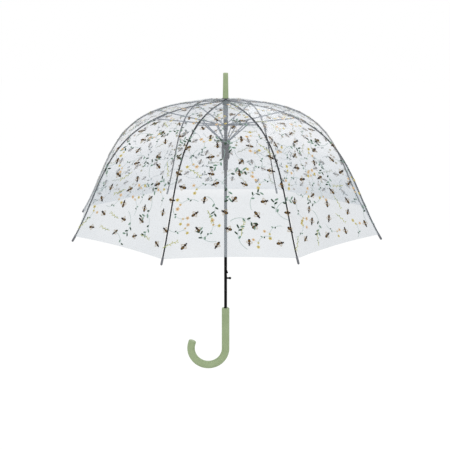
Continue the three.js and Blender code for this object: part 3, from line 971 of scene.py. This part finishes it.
motifs = {
    "bee": bee(),
    "leafSprig": leafSprig("leafDark", "leafGrey"),
    "leafSprigPale": leafSprig("leafGrey", "leafDark"),
    "flowerSprig": flowerSprig("yellow", "peach"),
    "flowerSprigPale": flowerSprig("peach", "yellow"),
    "straightSprig": straightSprig(),
}
for name, motif in motifs.items():
    motif.name = name
print("motifs", {name: len(motif.data.polygons) for name, motif in motifs.items()})

# millimetres along the rib; proud is how far the ink stands off the film, jitters are shares of a cell
printSet = {"cell": 38.0, "seed": 20, "first": 34.0, "last": 14.0, "proud": 0.22, "topEdge": 12.0,
            "hemEdge": 7.5, "jitterRound": 0.16, "jitterAlong": 0.2, "sizes": (0.92, 1.08), "rowStep": 0.93,
            "flatShare": 0.974}  # how much shorter eight flat gores are than the circle round the ribs


def printLayout():
    # rings of cells round the dome; a bee in every second one and a sprig in the others
    draw = random.Random(printSet["seed"])
    jitterRound, jitterAlong = printSet["jitterRound"], printSet["jitterAlong"]
    placed = []
    sprigs = ["leafSprig", "flowerSprig", "straightSprig", "leafSprigPale", "flowerSprigPale"]
    along, ring = printSet["first"], 0
    while along < hemLength - printSet["last"]:
        cells = max(4, 2 * round(math.pi * ridgeOf(along)[0] * printSet["flatShare"] / printSet["cell"]))
        shift = draw.random()
        for i in range(cells):
            azimuth = 2 * math.pi * (i + shift + draw.uniform(-jitterRound, jitterRound)) / cells
            place = along + draw.uniform(-jitterAlong, jitterAlong) * printSet["cell"]
            kind = "bee" if (i + ring) % 2 else sprigs[draw.randrange(len(sprigs))]
            turn = draw.uniform(0, 2 * math.pi)
            size = draw.uniform(*printSet["sizes"])
            k = round((azimuth - ribs["firstAzimuth"]) / (2 * halfStep)) % ribs["count"]
            local = (azimuth - azimuthOf(k) + math.pi) % (2 * math.pi) - math.pi
            placed.append({"kind": kind, "section": k, "along": place, "local": local, "turn": turn,
                           "size": size})
        along += printSet["cell"] * printSet["rowStep"]
        ring += 1
    return placed


layout = printLayout()


def flatAcross(along, local):
    # from an azimuth off the rib to a distance across the flat gore; localOf is the way back
    ridge = ridgeOf(along)[0]
    size = ridge * math.cos(halfStep) * (math.tan(halfStep) - math.tan(halfStep - abs(local)))
    return math.copysign(size, local)


def localOf(along, across):
    ridge = max(ridgeOf(along)[0], 1.0)
    local = halfStep - math.atan(math.tan(halfStep) - abs(across) / (ridge * math.cos(halfStep)))
    return math.copysign(local, across)


def printSection(name, k, side, start, end):
    copies = []
    for item in layout:
        if item["section"] != k or not start <= item["along"] < end:
            continue
        copied = motifs[item["kind"]].copy()
        copied.data = copied.data.copy()
        across = flatAcross(item["along"], item["local"])
        copied.data.transform(Matrix.Translation((across, item["along"], 0))
                              @ Matrix.Rotation(item["turn"], 4, "Z") @ Matrix.Scale(item["size"], 4))
        bpy.context.scene.collection.objects.link(copied)
        copies.append(copied)
    if not copies:
        return None
    sheet = joinInto(copies[0], copies[1:])
    sheet.name = name
    sheet.data.name = name
    bpy.ops.object.mode_set(mode="EDIT")
    # a motif that lies over the rib or the hem is cut there, so that it follows the film
    # the rib, the hem and the crown trim it
    for place, normal, inner, outer in (((0, 0, 0), (1, 0, 0), side > 0, side < 0),
                                        ((0, hemLength - printSet["hemEdge"], 0), (0, 1, 0), False, True),
                                        ((0, printSet["topEdge"], 0), (0, -1, 0), False, True)):
        bpy.ops.mesh.select_all(action="SELECT")
        bpy.ops.mesh.bisect(plane_co=place, plane_no=normal, clear_inner=inner, clear_outer=outer)
    bpy.ops.object.mode_set(mode="OBJECT")
    if not sheet.data.polygons:
        removePiece(sheet)
        return None
    for vertex in sheet.data.vertices:
        across, along, lift = vertex.co
        outward = film["thickness"] / 2 + printSet["proud"] + lift
        vertex.co = filmPoint(k, along, localOf(along, across), outward)
    return sheet


sections = {
    "upper": {"body": "rib", "start": film["start"], "end": knee, "columns": 11, "rows": 26, "scallop": 0.0,
              "flat": (0.085, 0.202), "printFrom": -20, "printTo": 0, "rest": "rib_channel_{}"},
    "lower": {"body": "rod", "start": knee, "end": hemLength, "columns": 17, "rows": 44,
              "scallop": film["scallop"], "flat": (0.17, 0.36), "printFrom": 0, "printTo": 60,
              "rest": "rod_{}_fibre"},
}
# keep: the share of its width that a section keeps when closed; meets: where along it it stays on its rib
closing = {"upper": {"keep": 0.08, "meets": 0.0}, "lower": {"keep": 0.11, "meets": 0.16}}


def foldAxis(side, turn, start, end, meets):
    # the way a section narrows as the ribs close: square to its rib, within the film
    across = Vector((-math.sin(halfStep), math.cos(halfStep) * side, 0))
    begin, finish = ridgeOf(start), ridgeOf(end)
    alongRib = Vector((finish[0] - begin[0], 0, finish[1] - begin[1])).normalized()
    across -= alongRib * across.dot(alongRib)
    anchor = ridgeOf(start + (end - start) * meets)
    spin = Matrix.Rotation(turn, 4, "Z")
    return spin @ across.normalized(), spin @ Vector((anchor[0], 0, anchor[1])) * mm


for part, section in sections.items():
    for k, side in [(k, side) for k in range(ribs["count"]) for side in (-1, 1)]:
        body = f"{section['body']}_{k}"
        label = f"{part}_{k}_" + ("left" if side > 0 else "right")
        sheet, area = filmSection(f"film_{label}", k, side, section["start"], section["end"],
                                  section["columns"], section["rows"], section["scallop"])
        finished(sheet, "film", body, [f"canopy_{part}_{k}"])
        drawn = printSection(f"print_{label}", k, side, section["start"] + section["printFrom"],
                             section["end"] + section["printTo"])
        if drawn:
            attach(drawn, body)
        axis, anchor = foldAxis(side, azimuthOf(k), section["start"], section["end"], closing[part]["meets"])
        for soft in [sheet, drawn] if drawn else [sheet]:
            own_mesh(soft)
        if k == 0:
            print("film", label, "area", round(area, 4))
for motif in motifs.values():
    removePiece(motif)
print("film and print")
